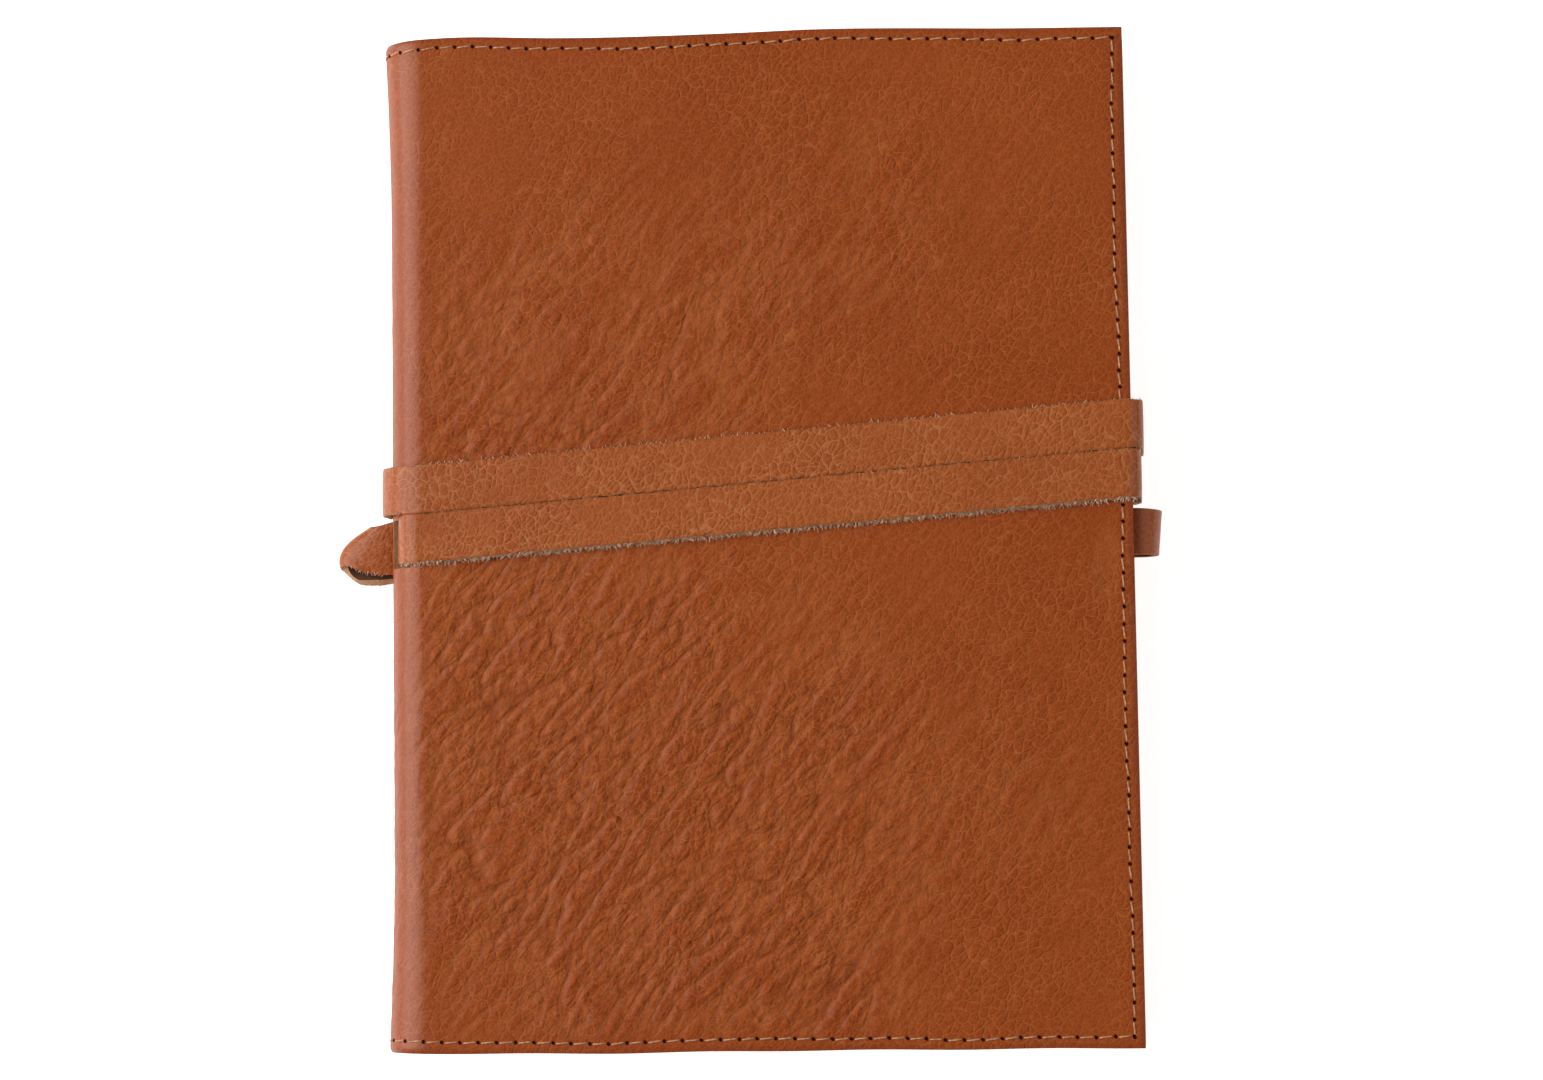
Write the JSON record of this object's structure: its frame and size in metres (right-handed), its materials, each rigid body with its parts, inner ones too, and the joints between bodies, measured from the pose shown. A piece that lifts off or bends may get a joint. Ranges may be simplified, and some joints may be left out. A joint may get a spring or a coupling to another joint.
{
  "type": "leather notebook cover",
  "caption": "Refillable leather notebook cover, closed and bound with a long strap from a slot in its spine, with a pen loop at the fore edge and an A5 refill inside.",
  "frame": {"origin": "centre of the box round the whole part, at its underside, where it lies on its back on a table", "axes": "+X from the rolled spine to the open fore edge, +Y along the height towards the head of the book, +Z out of the front cover"},
  "size_m": [0.181, 0.22, 0.0227],
  "materials": {
    "hide": "waxed pull-up leather, satin",
    "sleeve": "waxed leather, matt",
    "pen_loop": "waxed leather, satin",
    "lining": "suede split, matt",
    "board": "matt card",
    "paper": "uncoated ivory paper",
    "thread": "waxed linen thread",
    "strap": "waxed leather, raw edges"
  },
  "bodies": {
    "back": {"hide_back": "hide", "lining_back": "lining", "sleeve_back": "sleeve", "refill_back_board": "board", "pages_back": "paper", "pen_loop": "pen_loop", "thread_back": "thread", "strap_front_lower": "strap", "strap_fore_lower": "strap", "strap_back_inner": "strap", "strap_spine_turn": "strap", "strap_front_upper": "strap", "strap_fore_upper": "strap", "strap_back_outer": "strap", "strap_tail": "strap"},
    "spine": {"hide_spine": "hide", "lining_spine": "lining", "thread_spine": "thread"},
    "front": {"hide_front": "hide", "lining_front": "lining", "sleeve_front": "sleeve", "refill_front_board": "board", "thread_front": "thread", "strap_anchor": "strap"},
    "leaves": {"pages_front": "paper"}
  },
  "joints": [
    {"name": "back_fold", "type": "hinge", "parent": "back", "child": "spine", "pos_m": [-0.07613, 0, 0.0073], "axis": [0, -1, 0], "range_deg": [0, 90]},
    {"name": "front_fold", "type": "hinge", "parent": "spine", "child": "front", "pos_m": [-0.07613, 0, 0.0173], "axis": [0, -1, 0], "range_deg": [0, 90], "deforming": ["strap_front_lower", "strap_fore_lower", "strap_spine_turn", "strap_front_upper", "strap_fore_upper", "strap_tail"]},
    {"name": "leaf_turn", "type": "hinge", "parent": "back", "child": "leaves", "pos_m": [-0.06925, 0, 0.0129], "axis": [0, -1, 0], "range_deg": [0, 180]}
  ],
  "couplings": [
    {"joint": "back_fold", "follows": "front_fold", "ratio": 1},
    {"joint": "leaf_turn", "follows": "front_fold", "ratio": 2}
  ]
}
